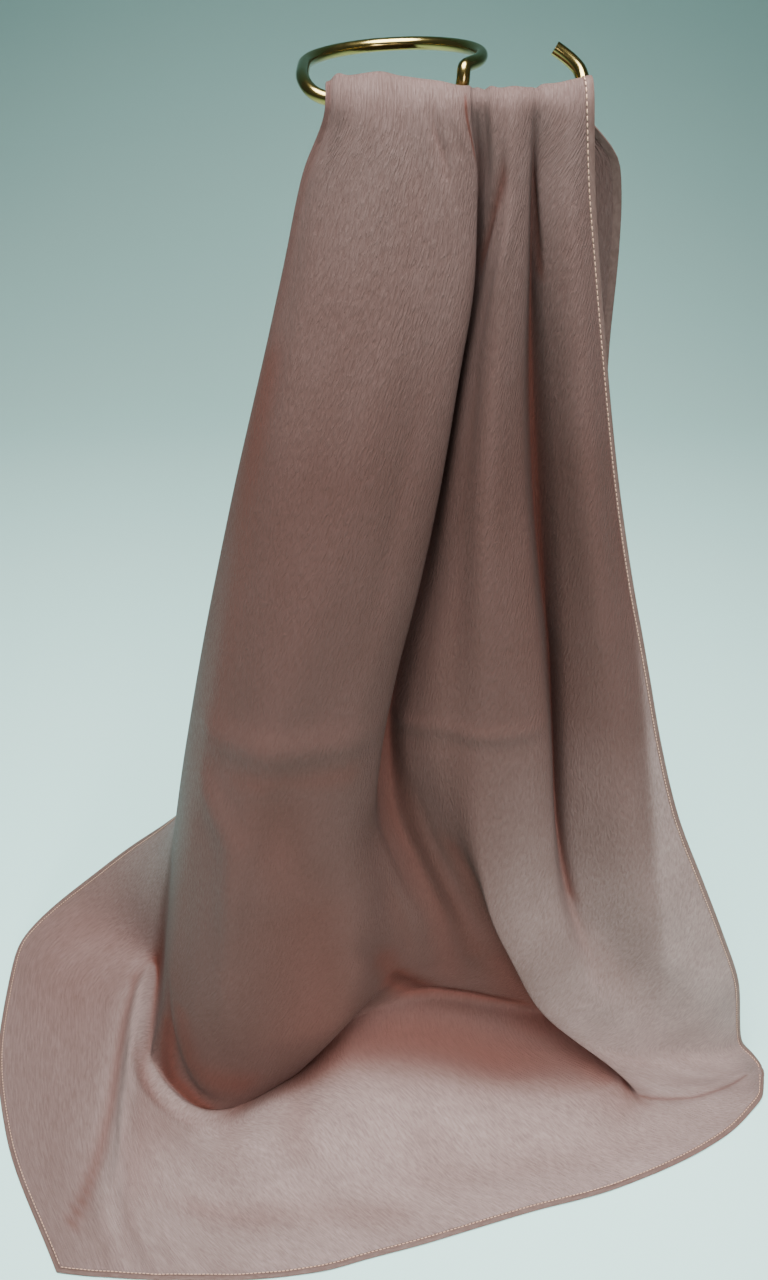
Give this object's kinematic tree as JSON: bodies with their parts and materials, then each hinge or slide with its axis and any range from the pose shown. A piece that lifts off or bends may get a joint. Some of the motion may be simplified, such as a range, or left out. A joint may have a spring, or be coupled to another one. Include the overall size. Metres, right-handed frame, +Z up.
{
  "type": "scarf on a wire stand",
  "caption": "Rose satin scarf hung in soft folds over the bar of a bent-wire stand, its front end spread on the table",
  "frame": {"origin": "on the table, under the middle of the footprint", "axes": "+Z up; the front of the scarf faces -Y; +X is to the viewer's right"},
  "size_m": [0.6292, 0.3382, 0.7114],
  "materials": {
    "satin": "crepe-backed satin, dusty rose, soft sheen",
    "hem": "the same satin, turned twice and stitched",
    "brass": "polished brass-coloured plating"
  },
  "bodies": {
    "root": {"left_flank_outer": "satin", "left_flank_inner": "satin", "middle_flank_left": "satin", "middle_flank_right": "satin", "right_flank_inner": "satin", "right_flank_outer": "satin", "margin_left": "satin", "spread_front": "satin", "flap_left": "satin", "back_wave_left": "satin", "back_wave_middle": "satin", "back_wave_right": "satin", "hem_right": "hem", "hem_left": "hem", "hem_end": "hem", "hem_back": "hem", "wire": "brass", "base": "brass"}
  },
  "joints": []
}
